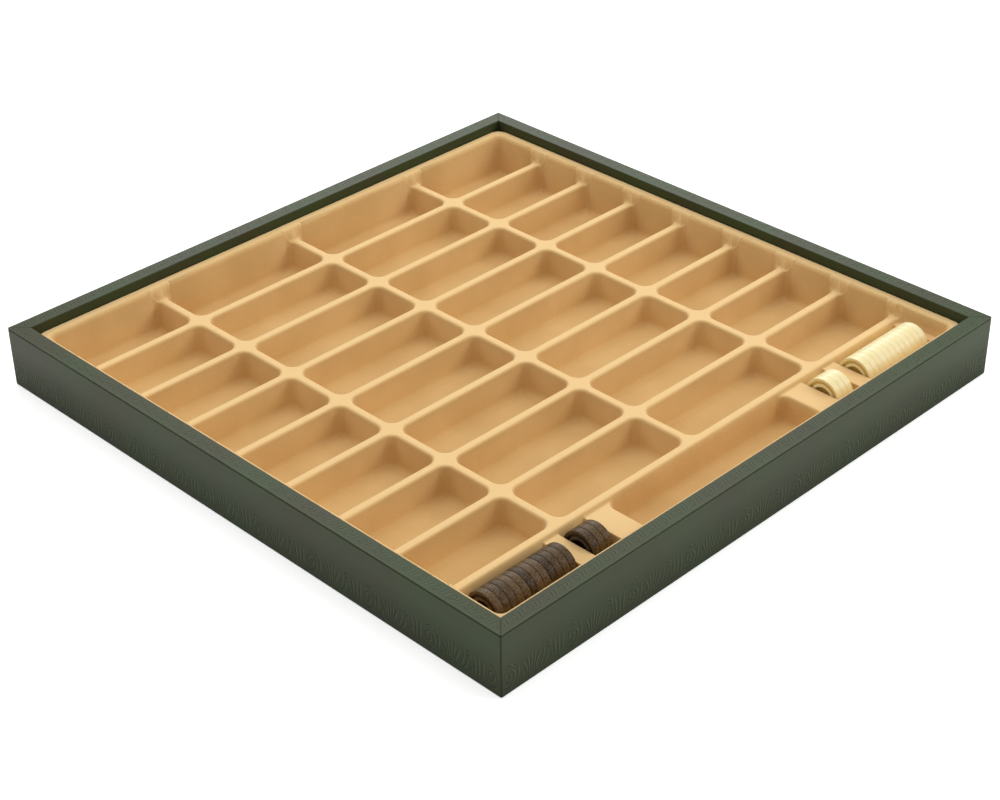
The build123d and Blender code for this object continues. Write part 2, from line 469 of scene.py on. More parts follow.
@dataclass(frozen=True)
class LiningCloth(Finish):
    """Plain-woven cotton lining, dyed dark green: a square weave with a matt face."""

    thread: str = "#3E4A37"
    gap: str = "#20281C"
    thread_mm: float = 1.0
    weave_depth_mm: float = 0.1

    def build(self) -> Material:
        """Makes the material: one wave along X times one along Y. Real threads are half as wide."""
        material, nodes, place = self.start()
        # A wave's bands are 2 pi over 20 times its scale apart
        scale = METRE / self.thread_mm * 2.0 * math.pi / 20.0
        waves = [
            nodes.add("ShaderNodeTexWave", {"bands_direction": axis, "Scale": scale, "Vector": place})
            for axis in ("X", "Y")
        ]
        weave = nodes.maths("MULTIPLY", *[wave.outputs["Fac"] for wave in waves])
        nodes.feed("Base Color", nodes.mixed(weave, self.gap, self.thread))
        nodes.bump(weave, self.weave_depth_mm)
        return material


# The tray

def rounded_inset(
    x: Array, y: Array, low: Pair, high: Pair, radius: float
) -> Array:
    """Gives how far points lie inside a rectangle with rounded corners, less than 0 outside.

    It is the signed distance to the rectangle shrunk by the radius, taken from the radius.

    Args:
        x: The points' x.
        y: The points' y.
        low: The rectangle's lowest corner.
        high: The rectangle's highest corner.
        radius: Its corners' radius.

    Returns:
        The distances.
    """
    over_x = np.abs(x - (low[0] + high[0]) / 2) - (high[0] - low[0]) / 2 + radius
    over_y = np.abs(y - (low[1] + high[1]) / 2) - (high[1] - low[1]) / 2 + radius
    beyond = np.hypot(np.maximum(over_x, 0.0), np.maximum(over_y, 0.0))
    return radius - beyond - np.minimum(np.maximum(over_x, over_y), 0.0)


@dataclass
class Wall:
    """The section of a moulded wall: a rounded brink, a drafted face and a rounded foot."""

    draft: float = math.radians(7.0)
    foot_radius: float = 4.0
    arc_steps: int = 5

    @property
    def lean(self) -> float:
        """How far the face leans in for each millimetre down."""
        return math.tan(self.draft)

    def tangent(self, radius: Array | float) -> Array | float:
        """How far a rounding of that radius starts from its corner."""
        return radius * math.tan((math.pi / 2 - self.draft) / 2)

    def samples(self, top: Array, floor: float, brink: Array) -> tuple[Array, Array, Array]:
        """Gives points down the section, one column for each place along the wall.

        Args:
            top: The height of the level above the wall.
            floor: The height of the level below it.
            brink: The brink's radius.

        Returns:
            How far in from the brink's line each point lies, how high, and how level the surface is there.
        """
        turn = math.pi / 2 - self.draft
        down = np.linspace(0.0, turn, self.arc_steps)[:, None]
        foot = np.linspace(turn, 0.0, self.arc_steps)[:, None]
        foot_centre = (top - floor) * self.lean + self.tangent(self.foot_radius)
        inset = np.vstack([
            -self.tangent(brink) + brink * np.sin(down),
            foot_centre - self.foot_radius * np.sin(foot),
        ])
        height = np.vstack([
            top - brink * (1.0 - np.cos(down)),
            floor + self.foot_radius * (1.0 - np.cos(foot)) + 0.0 * top,
        ])
        levelness = np.vstack([np.cos(down) + 0.0 * top, 0.0 * foot + 0.0 * top])
        return inset, height, levelness

    def height(
        self, inset: Array, top: Array | float, floor: Array | float, brink: Array | float
    ) -> Array:
        """Gives the section's height at distances in from the brink's line: level, arc, slope, arc, level.

        Args:
            inset: The distances.
            top: The height of the level above the wall.
            floor: The height of the level below it.
            brink: The brink's radius.

        Returns:
            The heights.
        """
        foot = self.foot_radius
        past_top = np.clip(inset + self.tangent(brink), 0.0, brink)
        rounded_top = top - brink + np.sqrt(brink**2 - past_top**2)
        slope = top - inset / self.lean
        upper = np.where(inset < -self.tangent(brink) + brink * math.cos(self.draft), rounded_top, slope)
        centre = (top - floor) * self.lean + self.tangent(foot)
        before_end = np.clip(centre - inset, 0.0, foot)
        rounded_foot = floor + foot - np.sqrt(foot**2 - before_end**2)
        return np.where(inset > centre - foot * math.cos(self.draft), rounded_foot, upper)


@dataclass
class Trough:
    """A trough for counters: the node of its first counter, and how long it is."""

    first_counter: str
    length: float
    end_gap: float = 0.5

    @property
    def start(self) -> float:
        """Where it starts along X."""
        return float(node_box(self.first_counter)[0][0]) - self.end_gap


@dataclass
class FlockedTray:
    """One thermoformed sheet with 32 cells, and a row of troughs for the counters.

    The upper side is patches that meet vertex to vertex: one for each cell, drawn along its rounded outline,
    one for the counters' row and one for the skirt round the outside. A Solidify modifier gives the sheet its
    wall.
    """

    finish: Material
    sheet: float = 1.0
    well_half: float = 224.4
    ridge_drop: float = 9.9
    ridge_width: float = 7.0
    pitch_x: float = 127.38
    columns: int = 4
    rows: int = 8
    corner_radius: float = 7.5
    wall_corner_radius: float = 5.0
    least_radius: float = 0.8
    plan_radius: float = 10.0
    edge_radius: float = 0.8
    ridge_brink: float = 2.4
    wall_brink: float = 4.0
    rise_length: float = 4.2
    rise_power: float = 3.2
    block_drop: float = 2.6
    block_edge: float = 0.7
    block_fillet: float = 2.0
    row_margin: float = 0.72
    middle_half: float = 88.7
    trough_slope: float = math.radians(64.0)
    trough_half: float = 17.78
    trough_end_lean: float = 0.05
    trough_corner_round: float = 0.8
    trough_foot_round: float = 1.5
    middle_room: float = 1.6
    brink_line: float = 0.05
    least_brink: float = 0.05
    # flange_levelness and block_levelness set how much painted highlight the flange and the blocks' tops get
    flange_levelness: float = 0.83
    block_levelness: float = 0.9
    fine: float = 0.75
    coarse: float = 6.0
    least_step: float = 0.2
    clear_of_fixed: float = 0.3
    wall_reach: float = 10.0
    foot_reach: float = 9.0
    weld: float = 0.002
    corner_steps: int = 6
    level_shares: tuple[float, ...] = (0.35, 0.6, 0.8, 0.94)
    wall: Wall = field(default_factory=Wall)
    step_wall: Wall = field(default_factory=lambda: Wall(foot_radius=0.5))
    troughs: tuple[Trough, ...] = (
        Trough("counter_dark_01", 70.0),
        Trough("counter_dark_13", 23.2),
        Trough("counter_pale_01", 23.2),
        Trough("counter_pale_04", 70.0),
    )

    def __post_init__(self) -> None:
        """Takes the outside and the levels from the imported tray."""
        low, high = node_box("tray")
        self.half = float(high[0])
        self.foot = float(low[2])
        self.flange_top = float(high[2])
        self.floor = self.foot + self.sheet
        self.ridge_top = self.flange_top - self.ridge_drop
        self.block_top = self.ridge_top - self.block_drop
        self.edge = self.half - self.edge_radius
        counter_low, counter_high = node_box("counter_dark_01")
        self.counter_line = float(counter_low[1] + counter_high[1]) / 2
        self.row_brink = self.counter_line + self.trough_half + self.row_margin
        self.first_ridge = self.row_brink + self.ridge_width / 2
        self.pitch_y = -2 * self.first_ridge / (self.rows - 1)

    def well_inset(self, x: Array, y: Array) -> Array:
        """Gives how far points lie inside the well's brink, less than 0 on the flange."""
        return rounded_inset(x, y, (-self.well_half,) * 2, (self.well_half,) * 2, self.wall_corner_radius)

    def turned_up(self, inset: Array) -> Array:
        """Gives how far a ridge's end has come to the outer wall: 0 before it turns up, 1 at the brink."""
        return 1.0 - np.clip(inset / self.rise_length, 0.0, 1.0)

    def top_height(self, x: Array, y: Array) -> Array:
        """Gives the height of the ridges' tops, whose ends turn up in a quarter superellipse.

        Args:
            x: The points' x.
            y: The points' y.

        Returns:
            The heights: the ridges' own, and the flange's from the well's brink outwards.
        """
        remains = 1.0 - self.turned_up(self.well_inset(x, y)) ** self.rise_power
        return self.ridge_top + self.ridge_drop * (1.0 - remains ** (1.0 / self.rise_power))

    def level_height(self, x: Array, y: Array) -> Array:
        """Gives the height between the brinks: the ridges' tops, or the outer wall's brink."""
        inset = self.well_inset(x, y)
        swept = self.top_height(x, y)
        rounded = self.wall.height(inset, self.flange_top, self.floor, self.wall_brink)
        return np.where(inset < self.brink_line, np.minimum(swept, rounded), swept)

    def top_levelness(self, x: Array, y: Array) -> Array:
        """Gives how level the ridges' tops are, 0 where they turn up, and less on the flange's inside.

        Args:
            x: The points' x.
            y: The points' y.

        Returns:
            The cosines of the slopes, scaled on the flange by how near it is to the outer edge.
        """
        inset = self.well_inset(x, y)
        power = self.rise_power
        turned = self.turned_up(inset)
        remains = np.maximum(1.0 - turned**power, 1e-6)
        slope = self.ridge_drop / self.rise_length * turned ** (power - 1.0) * remains ** (1.0 / power - 1.0)
        swept = 1.0 / np.sqrt(1.0 + slope**2)
        outwards = smoothstep(-inset / (self.edge - self.well_half))
        flange = self.flange_levelness + (1.0 - self.flange_levelness) * outwards
        return np.where(inset < self.brink_line, flange, swept)

    def brink_radius(self, top: Array) -> Array:
        """Gives the brink's radius: the ridges', almost none at their steep ends, and the outer wall's."""
        share = (top - self.ridge_top) / self.ridge_drop
        over_ridge = self.ridge_brink * np.clip(1.0 - 4.0 * share, 0.0, 1.0) ** 2
        over_wall = self.wall_brink * share**8
        return np.maximum(np.maximum(over_ridge, over_wall), self.least_brink)

    def round_plan(self, x: Array, y: Array) -> tuple[Array, Array]:
        """Bends the plan's square corners to round ones: each corner's square maps onto a quarter disc.

        Args:
            x: The points' x.
            y: The points' y.

        Returns:
            The bent x and y.
        """
        radius = self.plan_radius - self.edge_radius
        start = self.edge - radius
        u = np.clip((np.abs(x) - start) / radius, 0.0, None)
        v = np.clip((np.abs(y) - start) / radius, 0.0, None)
        bent_x = np.sign(x) * (start + radius * u * np.sqrt(1.0 - v**2 / 2))
        bent_y = np.sign(y) * (start + radius * v * np.sqrt(1.0 - u**2 / 2))
        corner = (u > 0) & (v > 0)
        return np.where(corner, bent_x, x), np.where(corner, bent_y, y)

    def side_places(self, ends: Pair, cores: Pair, reach: Pair) -> Array:
        """Gives places along one side of a cell's plan, by equal angles about the corners' centres.

        Args:
            ends: Where the side starts and ends.
            cores: The two corners' centres, along the side.
            reach: How far the side lies from each of those centres.

        Returns:
            The places, from low to high.
        """
        low, high = ends
        low_core, high_core = cores
        count = self.corner_steps + 1
        low_turn = np.linspace(math.atan((low_core - low) / reach[0]), 0.0, count)
        high_turn = np.linspace(0.0, math.atan((high - high_core) / reach[1]), count)
        first = low_core - reach[0] * np.tan(low_turn)
        last = high_core + reach[1] * np.tan(high_turn)
        between = np.linspace(low_core, high_core, 4)[1:-1]
        places = np.concatenate([first, between, last])
        places[0] = low
        places[-1] = high
        return places

    def bounds_of(self, lines: Array, index: int, count: int) -> tuple[float, float, float, float]:
        """Gives a cell's extent along one axis.

        Args:
            lines: The ridges' centre lines.
            index: The cell's place.
            count: How many cells there are.

        Returns:
            The plan's low and high ends, and the opening's low and high brinks.
        """
        half_ridge = self.ridge_width / 2
        low, low_brink = -self.edge, -self.well_half
        if index > 0:
            low, low_brink = lines[index - 1], lines[index - 1] + half_ridge
        high, high_brink = self.edge, self.well_half
        if index < count - 1:
            high, high_brink = lines[index], lines[index] - half_ridge
        return low, high, low_brink, high_brink

    def centres(self, places: Array, corner: Array, inwards: Array) -> Array:
        """Gives the point of an opening's core that is nearest to each place.

        Args:
            places: The places' x and y.
            corner: The core's nearest corner for each place.
            inwards: The way into the core from that corner, 1 or -1 along each axis.

        Returns:
            The points.
        """
        return corner + inwards * np.maximum((places - corner) * inwards, 0.0)

    def corner_of(self, x_extent: tuple[float, ...], y_extent: tuple[float, ...]) -> Array:
        """Gives the radius of each corner of a cell, smaller where the well's own corner is.

        Args:
            x_extent: The plan's ends and the opening's brinks along X.
            y_extent: The same along Y.

        Returns:
            The radii, by the corner's end along X and its end along Y.
        """
        at_wall = [[abs(place) == self.well_half for place in extent[2:]] for extent in (x_extent, y_extent)]
        both = np.outer(at_wall[0], at_wall[1])
        either = np.logical_or.outer(at_wall[0], at_wall[1])
        middle_radius = (self.corner_radius + self.wall_corner_radius) / 2
        return np.where(both, self.wall_corner_radius, np.where(either, middle_radius, self.corner_radius))

    def cell(
        self, x_extent: tuple[float, ...], y_extent: tuple[float, ...], front: Array | None
    ) -> Patch:
        """Makes one cell's patch, from the ridges' centre lines down to its floor.

        Each point of the plan's outline looks to the nearest point of the opening's core, which is the
        opening shrunk by its corners' radius. The rings lie along those lines, so corners are true arcs.

        Args:
            x_extent: The plan's ends and the opening's brinks along X.
            y_extent: The same along Y.
            front: The places along the front side, where the counters' row has set them.

        Returns:
            The vertices, the faces, and how much painted highlight each vertex gets.
        """
        x0, x1, bx0, bx1 = x_extent
        y0, y1, by0, by1 = y_extent
        radii = self.corner_of(x_extent, y_extent)
        core_x = np.array([[bx0], [bx1]]) + np.array([[1.0], [-1.0]]) * radii
        core_y = np.array([[by0, by1]]) + np.array([[1.0, -1.0]]) * radii
        front_x = front
        if front is None:
            front_x = self.side_places((x0, x1), core_x[:, 0], core_y[:, 0] - y0)
        back_x = self.side_places((x0, x1), core_x[:, 1], y1 - core_y[:, 1])
        left_y = self.side_places((y0, y1), core_y[0], core_x[0] - x0)
        right_y = self.side_places((y0, y1), core_y[1], x1 - core_x[1])
        outline = np.concatenate([
            np.stack([front_x[:-1], np.full(len(front_x) - 1, y0)], axis=1),
            np.stack([np.full(len(right_y) - 1, x1), right_y[:-1]], axis=1),
            np.stack([back_x[:0:-1], np.full(len(back_x) - 1, y1)], axis=1),
            np.stack([np.full(len(left_y) - 1, x0), left_y[:0:-1]], axis=1),
        ])
        end_x = (outline[:, 0] > (bx0 + bx1) / 2).astype(int)
        end_y = (outline[:, 1] > (by0 + by1) / 2).astype(int)
        radius = radii[end_x, end_y]
        corner = np.stack([core_x[end_x, end_y], core_y[end_x, end_y]], axis=1)
        inwards = np.stack([1 - 2 * end_x, 1 - 2 * end_y], axis=1)
        centre = self.centres(outline, corner, inwards)
        away = outline - centre
        away /= np.linalg.norm(away, axis=1, keepdims=True)
        brink = centre + radius[:, None] * away
        top = self.top_height(brink[:, 0], brink[:, 1])[None, :]
        inset, height, levelness = self.wall.samples(top, self.floor, self.brink_radius(top))
        inner = np.maximum(radius - inset, self.least_radius)
        sunk = (inset + inner - radius)[:, :, None]
        rings = self.centres(outline[None], corner[None] + inwards[None] * sunk, inwards[None])
        rings = rings + inner[:, :, None] * away[None]
        bent = np.stack(self.round_plan(outline[:, 0], outline[:, 1]), axis=1)
        shares = np.array(self.level_shares)[:, None, None]
        between = bent[None] * (1.0 - shares) + rings[:1] * shares
        level = np.concatenate([
            self.level_height(outline[:, 0], outline[:, 1])[None],
            self.level_height(between[:, :, 0], between[:, :, 1]),
        ])
        plan = np.concatenate([bent[None], between, rings])
        heights = np.concatenate([level, height])
        levelness = np.concatenate([np.ones_like(level), levelness])
        # painted highlight on the level tops, by how level they are
        crest_highlight = crest_of(levelness * self.top_levelness(plan[:, :, 0], plan[:, :, 1]))
        count = len(outline)
        vertices = np.concatenate([plan, heights[:, :, None]], axis=2).reshape(-1, 3)
        faces = grid_faces(len(plan), count, wrap=True).tolist()
        faces.append(list(range((len(plan) - 1) * count, len(plan) * count)))
        return vertices, faces, crest_highlight.ravel()

    def hollow(self, x: Array, y: Array) -> Array:
        """Gives the height of the counters' row below its surrounding walls.

        It is the blocks' level top, or the height in a trough or in the middle cell where that is lower. A
        trough's long sides are planes at one slope, its ends nearly upright planes, and its foot is rounded.

        Args:
            x: The points' x.
            y: The points' y.

        Returns:
            The heights.
        """
        result = np.full_like(x, self.block_top)
        in_from_side = self.trough_half - np.abs(y - self.counter_line)
        sides = self.block_top - in_from_side * math.tan(self.trough_slope)
        for trough in self.troughs:
            inside = trough.length / 2 - np.abs(x - trough.start - trough.length / 2)
            ends = self.block_top - inside / self.trough_end_lean
            walls = smooth_max(sides, ends, self.trough_corner_round)
            depth = smooth_max(walls, np.full_like(x, self.floor), self.trough_foot_round)
            result = smooth_min(result, depth, self.block_edge)
        front = self.counter_line - self.trough_half - self.middle_room
        back = self.counter_line + self.trough_half
        low, high = (-self.middle_half, front), (self.middle_half, back)
        inset = rounded_inset(x, y, low, high, self.corner_radius)
        return np.minimum(result, self.wall.height(inset, self.block_top, self.floor, self.ridge_brink))

    def row_lines(self, ridge_places: Array) -> tuple[Array, Array]:
        """Gives the grid's lines over the counters' row, fine where the surface turns and coarse between.

        Args:
            ridge_places: The places along the ridge that the first row of cells needs.

        Returns:
            The lines' x, and their y.
        """
        step = self.fine
        middle = np.arange(self.middle_half - self.wall_reach, self.middle_half + 3.0, step)
        outer = np.arange(self.well_half - self.wall_reach, self.edge, step)
        ends = [trough.start + np.linspace(-1.4, 2.2, 11) for trough in self.troughs]
        ends += [trough.start + trough.length + np.linspace(-2.2, 1.4, 11) for trough in self.troughs]
        plain = np.arange(-self.edge, self.edge, self.coarse)
        own = np.concatenate([middle, -middle, outer, -outer, plain, *ends])
        own = own[np.abs(own) < self.edge - self.clear_of_fixed]
        fixed = np.unique(np.round(ridge_places, 5))
        gap = np.min(np.abs(own[:, None] - fixed[None, :]), axis=1)
        lines_x = np.sort(np.concatenate([fixed, own[gap > self.clear_of_fixed]]))
        keep = np.concatenate([[True], np.diff(lines_x) > self.least_step])
        keep |= np.isin(lines_x, fixed)
        floor_from = self.counter_line - self.trough_half + self.foot_reach
        floor_to = self.row_brink - self.foot_reach
        lines_y = np.unique(np.round(np.concatenate([
            [-self.edge],
            np.arange(-self.edge + step, floor_from, step),
            np.arange(floor_from, floor_to, 3.0),
            np.arange(floor_to, self.first_ridge - self.clear_of_fixed, step),
            [self.first_ridge],
        ]), 5))
        return lines_x[keep], lines_y

    def counters_row(self, lines_x: Array, lines_y: Array) -> Patch:
        """Makes the patch of the counters' row: a height over every crossing of the lines.

        The height is the row's hollow, or its surrounding wall where that is higher. The wall's section goes
        on far below the floor, so that its foot is out of the way.

        Args:
            lines_x: The lines' x.
            lines_y: The lines' y.

        Returns:
            The vertices, the faces, and how much painted highlight each vertex gets.
        """
        y, x = np.meshgrid(lines_y, lines_x, indexing="ij")
        radius = np.where(y < self.counter_line, self.wall_corner_radius, self.corner_radius)
        low, high = (-self.well_half, -self.well_half), (self.well_half, self.row_brink)
        inset = rounded_inset(x, y, low, high, radius)
        top = self.top_height(x, y)
        brink = self.brink_radius(top)
        wall = self.step_wall.height(inset, top, self.floor - 20.0, brink)
        height = smooth_max(self.hollow(x, y), wall, self.block_fillet)
        height = np.where(inset < -self.step_wall.tangent(brink), self.level_height(x, y), height)
        slope_y, slope_x = np.gradient(height, lines_y, lines_x)
        levelness = 1.0 / np.sqrt(1.0 + slope_x**2 + slope_y**2)
        over_blocks = height - self.block_top
        top_levelness = np.where(over_blocks > 1.0, self.top_levelness(x, y), self.block_levelness)
        # painted highlight on the level tops from the blocks' height up, by how level they are
        crest_highlight = crest_of(levelness * top_levelness) * smoothstep((over_blocks + 2.0) / 1.5)
        bent_x, bent_y = self.round_plan(x, y)
        vertices = np.stack([bent_x, bent_y, height], axis=2).reshape(-1, 3)
        return vertices, grid_faces(len(lines_y), len(lines_x)).tolist(), crest_highlight.ravel()

    def skirt(self, vertices: Array) -> Patch:
        """Makes the rounded outer edge and the skirt down to the base, round the patches' outer vertices.

        Args:
            vertices: All the patches' vertices.

        Returns:
            The vertices, the faces, and how much painted highlight each vertex gets.
        """
        start = self.half - self.plan_radius
        plan = vertices[:, :2]
        away = plan - np.clip(plan, -start, start)
        reach = np.linalg.norm(away, axis=1)
        rim = plan[reach > self.edge - start - 0.01]
        rim = np.unique(np.round(rim, 4), axis=0)
        rim = rim[np.argsort(np.arctan2(rim[:, 1], rim[:, 0]))]
        away = rim - np.clip(rim, -start, start)
        away /= np.linalg.norm(away, axis=1, keepdims=True)
        angles = np.linspace(0.0, math.pi / 2, 5)
        out = np.append(self.edge_radius * np.sin(angles), self.edge_radius)
        height = np.append(self.flange_top - self.edge_radius * (1.0 - np.cos(angles)), self.foot)
        plan_rings = rim[None] + out[:, None, None] * away[None]
        heights = np.broadcast_to(height[:, None, None], (*plan_rings.shape[:2], 1))
        grid = np.concatenate([plan_rings, heights], axis=2).reshape(-1, 3)
        # painted highlight on the top of the outer rounded edge, fading down it
        crest_highlight = np.repeat(np.linspace(1.0, 0.0, len(out)), len(rim))
        return grid, grid_faces(len(out), len(rim), wrap=True).tolist(), crest_highlight

    def build(self) -> Object:
        """Makes the tray, welds its patches and gives the sheet its thickness."""
        lines_x = (np.arange(1, self.columns) - self.columns / 2) * self.pitch_x
        lines_y = (np.arange(1, self.rows + 1) - (self.rows + 1) / 2) * self.pitch_y
        spans_x = [self.bounds_of(lines_x, k, self.columns) for k in range(self.columns)]
        spans_y = [self.bounds_of(lines_y, k, self.rows + 1) for k in range(1, self.rows + 1)]
        wanted = []
        for x_extent in spans_x:
            low, high, low_brink, high_brink = x_extent
            radii = self.corner_of(x_extent, spans_y[0])[:, 0]
            cores = (low_brink + radii[0], high_brink - radii[1])
            wanted.append(self.side_places((low, high), cores, self.ridge_width / 2 + radii))
        row_x, row_y = self.row_lines(np.concatenate(wanted))
        patches = [self.counters_row(row_x, row_y)]
        for row, y_extent in enumerate(spans_y):
            for x_extent in spans_x:
                inside = (row_x >= x_extent[0] - 1e-4) & (row_x <= x_extent[1] + 1e-4)
                patches.append(self.cell(x_extent, y_extent, row_x[inside] if row == 0 else None))
        patches.append(self.skirt(np.concatenate([patch[0] for patch in patches])))
        starts = np.cumsum([0] + [len(patch[0]) for patch in patches])
        all_faces = [
            [index + int(start) for index in face]
            for start, patch in zip(starts, patches)
            for face in patch[1]
        ]
        vertices = np.concatenate([patch[0] for patch in patches])
        crest_highlight = np.concatenate([patch[2] for patch in patches])
        tray = mesh_object("flocked_tray", vertices, all_faces, {"crest_highlight": crest_highlight}, weld=self.weld)
        skin = tray.modifiers.new("sheet", "SOLIDIFY")
        skin.thickness = self.sheet / METRE
        skin.offset = -1.0
        tray.data.materials.append(self.finish)
        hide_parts("tray")
        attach(tray, "tray")
        return tray


# The leather

@dataclass(frozen=True)
class Stroke:
    """One stroke of the tooling roll: a curve through three points, as wide as a leaf at its middle."""

    start: Pair
    bend: Pair
    end: Pair
    width: float = 0.47

    def line(self, count: int = 14) -> tuple[Array, Array]:
        """Gives points along the stroke, a quadratic curve, and its half-width, which swells and tapers.

        Args:
            count: How many points.

        Returns:
            The points and the half-widths.
        """
        t = np.linspace(0.0, 1.0, count)[:, None]
        points = (1 - t) ** 2 * np.array(self.start)
        points = points + 2 * t * (1 - t) * np.array(self.bend) + t**2 * np.array(self.end)
        return points, self.width * (0.45 + 0.55 * np.sin(math.pi * t[:, 0]))


@dataclass
class ToolingRoll:
    """A repeating ornament, pressed into the leather by a roll: a height over one period, from strokes.

    A stroke is a groove, a bell curve across its width, with a lip on the side that the roll has pushed up.
    The pattern is worked out once on a fine tile, which is then read at any place along the leather.
    """

    period: float
    height: float
    strokes: list[Stroke]
    resolution: float = 0.2
    lip_shift: float = 0.85
    lip_height: float = 0.75
    groove_edge: float = 0.35

    def __post_init__(self) -> None:
        """Works the tile out, with the neighbouring periods' strokes."""
        u = np.arange(0.0, self.period, self.resolution)
        v = np.arange(0.0, self.height + self.resolution, self.resolution)
        vv, uu = np.meshgrid(v, u, indexing="ij")
        lip = np.zeros_like(uu)
        groove = np.zeros_like(uu)
        for stroke in self.strokes:
            points, widths = stroke.line()
            for (px, py), width in zip(points, widths):
                along = (uu - px + self.period / 2) % self.period - self.period / 2
                rise = (vv - py) ** 2
                groove = np.maximum(groove, np.exp(-(along**2 + rise) / width**2))
                lip = np.maximum(lip, np.exp(-((along - self.lip_shift) ** 2 + rise) / width**2))
        self.tile = np.where(groove > self.groove_edge, -groove, self.lip_height * lip - groove)

    def read(self, u: Array, v: Array) -> Array:
        """Reads the pattern by linear steps between the tile's points.

        Args:
            u: How far along the leather.
            v: How far across the band, 0 to the band's height inside it.

        Returns:
            The pattern, from about -1 in the grooves to 0.7 on their lips, and 0 outside the band.
        """
        rows, columns = self.tile.shape
        across = np.clip(v / self.resolution, 0.0, rows - 1.001)
        along = (u / self.resolution) % columns
        row = across.astype(int)
        column = along.astype(int) % columns
        after = (column + 1) % columns
        row_share = across - row
        column_share = along - np.floor(along)
        lower = self.tile[row, column] * (1 - column_share) + self.tile[row, after] * column_share
        upper = self.tile[row + 1, column] * (1 - column_share) + self.tile[row + 1, after] * column_share
        inside = (v > 0) & (v < self.height)
        return np.where(inside, lower * (1 - row_share) + upper * row_share, 0.0)


def palmette_band() -> ToolingRoll:
    """Makes the sides' band: a traditional run of palmettes, with sprays, curls and dots between them."""
    tulip = [
        Stroke((9.8 + 1.7 * k, 2.0 + 0.5 * k * k), (9.8 + 2.1 * k, 9.5), (9.8 + 3.6 * k, 18.5 - 1.2 * k * k))
        for k in (-2.0, -1.0, 0.0, 1.0, 2.0)
    ]
    spray = [
        Stroke((17.0, 3.0), (20.5, 8.0), (20.6, 17.5), 0.44),
        Stroke((18.5, 2.0), (23.0, 4.0), (23.4, 11.5), 0.44),
        Stroke((22.6, 15.0), (24.0, 18.5), (26.0, 15.4), 0.44),
        Stroke((22.8, 14.2), (24.4, 12.2), (25.9, 14.4), 0.4),
    ]
    leaning = [
        Stroke((29.4 + 3.2 * k, 3.0), (29.8 + 3.2 * k, 9.5), (28.4 + 4.0 * k, 17.5 - 1.2 * abs(k - 1.0)))
        for k in (0.0, 1.0, 2.0)
    ]
    curl = [
        Stroke((40.0, 4.5), (44.0, -0.5), (48.2, 4.5), 0.47),
        Stroke((48.2, 4.5), (50.6, 11.0), (45.6, 13.5), 0.47),
        Stroke((45.6, 13.5), (40.6, 13.6), (41.6, 8.6), 0.44),
        Stroke((41.6, 8.6), (43.6, 4.4), (45.6, 8.4), 0.44),
        Stroke((45.6, 8.4), (46.0, 10.6), (43.9, 10.4), 0.37),
        Stroke((50.8, 3.0), (53.0, 9.0), (51.4, 17.0), 0.44),
        Stroke((42.4, 16.4), (44.2, 19.2), (47.4, 16.2), 0.4),
    ]
    dots = [
        Stroke((u, v), (u + 0.3, v + 0.3), (u + 0.6, v), 0.55)
        for u, v in ((2.4, 4.0), (26.8, 5.5), (49.2, 16.0))
    ]
    return ToolingRoll(53.0, 20.0, tulip + spray + leaning + curl + dots)


def leaf_border() -> ToolingRoll:
    """Makes the rim's band: a small curl and two slanted leaves, over and over."""
    curl = [
        Stroke((1.5, 3.0), (3.6, 0.44), (5.6, 3.4), 0.44),
        Stroke((5.6, 3.4), (6.2, 6.4), (3.6, 6.6), 0.4),
        Stroke((3.6, 6.6), (2.2, 5.8), (3.4, 4.2), 0.37),
    ]
    leaves = [Stroke((u, 2.4), (u + 1.0, 3.8), (u + 1.8, 6.4), 0.44) for u in (7.4, 10.2)]
    return ToolingRoll(13.0, 9.0, curl + leaves)


@dataclass
class Section:
    """The closed outline of a leather strip's section, as offsets out from the case's middle and heights.

    Beside each point stand whether it shows, how far across the tooled band it lies, and its tone: less than
    0 for painted shade in a seam, more than 0 for a painted highlight on the rim strip's outer lip.
    """

    offset: Array
    height: Array
    shown: Array
    across: Array
    tone: Array

    def directions(self) -> tuple[Array, Array]:
        """Gives the outline's outward direction at each point, square to the line through its neighbours.

        Returns:
            Its parts along the offset and the height.
        """
        along = np.roll(self.offset, -1) - np.roll(self.offset, 1)
        up = np.roll(self.height, -1) - np.roll(self.height, 1)
        length = np.maximum(np.hypot(along, up), 1e-9)
        return up / length, -along / length


def arc(centre: Pair, radius: float, first: float, last: float, steps: int) -> Array:
    """Gives points on an arc.

    Args:
        centre: The arc's centre, as offset and height.
        radius: Its radius.
        first: Its first angle in degrees, from outwards towards up.
        last: Its last angle.
        steps: How many steps it is cut into.

    Returns:
        One row for each point.
    """
    angle = np.radians(np.linspace(first, last, steps + 1))
    return np.stack([centre[0] + radius * np.cos(angle), centre[1] + radius * np.sin(angle)], axis=1)


